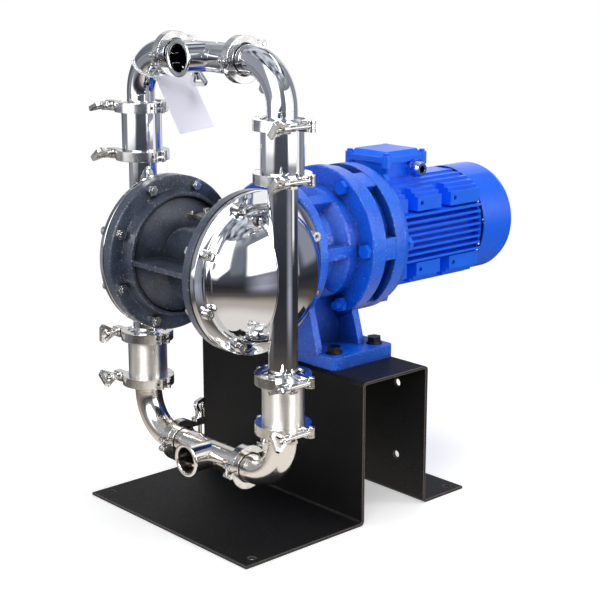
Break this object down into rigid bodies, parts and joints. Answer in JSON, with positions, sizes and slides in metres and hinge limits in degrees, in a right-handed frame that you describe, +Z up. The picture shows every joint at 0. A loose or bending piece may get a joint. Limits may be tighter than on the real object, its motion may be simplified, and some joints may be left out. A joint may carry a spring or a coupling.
{
  "type": "electric diaphragm pump",
  "caption": "Electric double-diaphragm pump: domed steel chambers on a cast housing, ball-valve pipe loop and a foot-mounted gearmotor on a bent steel base.",
  "frame": {"origin": "on the floor, in the middle plane of the base and under the axis of the two chambers", "axes": "+X towards the near chamber, +Y from the pump to the motor, +Z up"},
  "size_m": [0.5272, 0.8455, 0.87],
  "materials": {
    "black_steel": "satin black paint",
    "black_oxide": "black oxide",
    "blue_paint": "semi-gloss paint over rough casting",
    "blue_motor": "semi-gloss paint",
    "grey_enamel": "gloss enamel",
    "mirror_steel": "mirror-polished stainless steel",
    "satin_steel": "satin stainless steel",
    "cast_steel": "investment-cast stainless steel",
    "bolt_steel": "plain stainless steel",
    "plain_steel": "machined steel",
    "bearing_steel": "ground steel",
    "iron": "machined cast iron",
    "bronze": "sintered bronze",
    "copper_core": "laminated steel with varnished windings",
    "black_rubber": "moulded rubber",
    "white_seal": "white fluoropolymer",
    "fan_plastic": "black nylon",
    "gland_metal": "painted with the box",
    "white_card": "plain card",
    "white_strap": "white nylon"
  },
  "bodies": {
    "pump": {"base_frame": "black_steel", "foot_bolts": "black_oxide", "gearbox_housing": "blue_paint", "ring_gear": "blue_paint", "motor_flange": "blue_paint", "gearbox_bolts": "blue_motor", "motor_frame": "blue_motor", "rear_shield": "blue_motor", "fan_cover": "blue_motor", "terminal_box": "blue_motor", "terminal_lid": "blue_motor", "cover_screws": "bolt_steel", "cable_gland": "gland_metal", "stator": "copper_core", "bearings": "bearing_steel", "centre_housing": "grey_enamel", "inspection_plate": "satin_steel", "rod_bushes": "bronze", "near_diaphragm": "black_rubber", "far_diaphragm": "black_rubber", "near_cover": "mirror_steel", "far_cover": "mirror_steel", "cover_bolts": "bolt_steel", "upper_valve_bodies": "mirror_steel", "lower_valve_bodies": "satin_steel", "manifold_elbows": "mirror_steel", "discharge_tee": "mirror_steel", "suction_tee": "mirror_steel", "clamp_bands": "cast_steel", "clamp_bolts": "bolt_steel", "clamp_gaskets": "white_seal", "tag_card": "white_card", "tag_strap": "white_strap"},
    "rotor": {"rotor": "iron", "motor_shaft": "plain_steel", "eccentric_sleeve": "plain_steel", "cooling_fan": "fan_plastic"},
    "front_disc": {"front_cycloid_disc": "bearing_steel"},
    "rear_disc": {"rear_cycloid_disc": "bearing_steel"},
    "output": {"output_shaft": "plain_steel"},
    "roller": {"crank_roller": "bearing_steel"},
    "rod": {"yoke_rod": "plain_steel", "diaphragm_plates": "satin_steel"},
    "upper_near_ball": {"upper_near_ball": "mirror_steel"},
    "upper_far_ball": {"upper_far_ball": "mirror_steel"},
    "lower_near_ball": {"lower_near_ball": "mirror_steel"},
    "lower_far_ball": {"lower_far_ball": "mirror_steel"},
    "nut_near_discharge_top": {"nut_near_discharge_top": "cast_steel"},
    "nut_near_discharge_low": {"nut_near_discharge_low": "cast_steel"},
    "nut_near_suction_top": {"nut_near_suction_top": "cast_steel"},
    "nut_near_suction_low": {"nut_near_suction_low": "cast_steel"},
    "nut_far_discharge_top": {"nut_far_discharge_top": "cast_steel"},
    "nut_far_discharge_low": {"nut_far_discharge_low": "cast_steel"},
    "nut_far_suction_top": {"nut_far_suction_top": "cast_steel"},
    "nut_far_suction_low": {"nut_far_suction_low": "cast_steel"},
    "nut_near_discharge_run": {"nut_near_discharge_run": "cast_steel"},
    "nut_far_discharge_run": {"nut_far_discharge_run": "cast_steel"},
    "nut_near_suction_run": {"nut_near_suction_run": "cast_steel"},
    "nut_far_suction_run": {"nut_far_suction_run": "cast_steel"}
  },
  "joints": [
    {"name": "rotor_spin", "type": "hinge", "parent": "pump", "child": "rotor", "pos_m": [0, 0.48, 0.474], "axis": [0, 1, 0], "continuous": true},
    {"name": "front_disc_spin", "type": "hinge", "parent": "rotor", "child": "front_disc", "pos_m": [0.0045, 0.2915, 0.474], "axis": [0, 1, 0], "continuous": true},
    {"name": "rear_disc_spin", "type": "hinge", "parent": "rotor", "child": "rear_disc", "pos_m": [-0.0045, 0.3085, 0.474], "axis": [0, 1, 0], "continuous": true},
    {"name": "output_spin", "type": "hinge", "parent": "pump", "child": "output", "pos_m": [0, 0.2, 0.474], "axis": [0, 1, 0], "continuous": true},
    {"name": "roller_spin", "type": "hinge", "parent": "output", "child": "roller", "pos_m": [0.006, 0, 0.474], "axis": [0, 1, 0], "continuous": true},
    {"name": "rod_stroke", "type": "slide", "parent": "pump", "child": "rod", "axis": [1, 0, 0], "range_m": [-0.006, 0.006], "deforming": ["near_diaphragm", "far_diaphragm"]},
    {"name": "upper_near_ball_lift", "type": "slide", "parent": "pump", "child": "upper_near_ball", "axis": [0, 0, 1], "range_m": [0, 0.01]},
    {"name": "upper_far_ball_lift", "type": "slide", "parent": "pump", "child": "upper_far_ball", "axis": [0, 0, 1], "range_m": [0, 0.01]},
    {"name": "lower_near_ball_lift", "type": "slide", "parent": "pump", "child": "lower_near_ball", "axis": [0, 0, 1], "range_m": [0, 0.01]},
    {"name": "lower_far_ball_lift", "type": "slide", "parent": "pump", "child": "lower_far_ball", "axis": [0, 0, 1], "range_m": [0, 0.01]},
    {"name": "nut_near_discharge_top_turn", "type": "hinge", "parent": "pump", "child": "nut_near_discharge_top", "pos_m": [0.2455, -0.036, 0.7315], "axis": [0, -1, 0], "continuous": true},
    {"name": "nut_near_discharge_low_turn", "type": "hinge", "parent": "pump", "child": "nut_near_discharge_low", "pos_m": [0.2455, -0.036, 0.644], "axis": [0, -1, 0], "continuous": true},
    {"name": "nut_near_suction_top_turn", "type": "hinge", "parent": "pump", "child": "nut_near_suction_top", "pos_m": [0.2455, -0.036, 0.304], "axis": [0, -1, 0], "continuous": true},
    {"name": "nut_near_suction_low_turn", "type": "hinge", "parent": "pump", "child": "nut_near_suction_low", "pos_m": [0.2455, -0.036, 0.2165], "axis": [0, -1, 0], "continuous": true},
    {"name": "nut_far_discharge_top_turn", "type": "hinge", "parent": "pump", "child": "nut_far_discharge_top", "pos_m": [-0.2455, -0.036, 0.7315], "axis": [0, -1, 0], "continuous": true},
    {"name": "nut_far_discharge_low_turn", "type": "hinge", "parent": "pump", "child": "nut_far_discharge_low", "pos_m": [-0.2455, -0.036, 0.644], "axis": [0, -1, 0], "continuous": true},
    {"name": "nut_far_suction_top_turn", "type": "hinge", "parent": "pump", "child": "nut_far_suction_top", "pos_m": [-0.2455, -0.036, 0.304], "axis": [0, -1, 0], "continuous": true},
    {"name": "nut_far_suction_low_turn", "type": "hinge", "parent": "pump", "child": "nut_far_suction_low", "pos_m": [-0.2455, -0.036, 0.2165], "axis": [0, -1, 0], "continuous": true},
    {"name": "nut_near_discharge_run_turn", "type": "hinge", "parent": "pump", "child": "nut_near_discharge_run", "pos_m": [0.094, 0.05052, 0.80393], "axis": [0, 0.2079, -0.9781], "continuous": true},
    {"name": "nut_far_discharge_run_turn", "type": "hinge", "parent": "pump", "child": "nut_far_discharge_run", "pos_m": [-0.094, 0.05052, 0.80393], "axis": [0, 0.2079, -0.9781], "continuous": true},
    {"name": "nut_near_suction_run_turn", "type": "hinge", "parent": "pump", "child": "nut_near_suction_run", "pos_m": [0.094, 0.044, 0.154], "axis": [0, 0, 1], "continuous": true},
    {"name": "nut_far_suction_run_turn", "type": "hinge", "parent": "pump", "child": "nut_far_suction_run", "pos_m": [-0.094, 0.044, 0.154], "axis": [0, 0, 1], "continuous": true}
  ],
  "couplings": [
    {"joint": "front_disc_spin", "follows": "rotor_spin", "ratio": -1.0909},
    {"joint": "rear_disc_spin", "follows": "rotor_spin", "ratio": -1.0909},
    {"joint": "output_spin", "follows": "rotor_spin", "ratio": -0.090909}
  ]
}
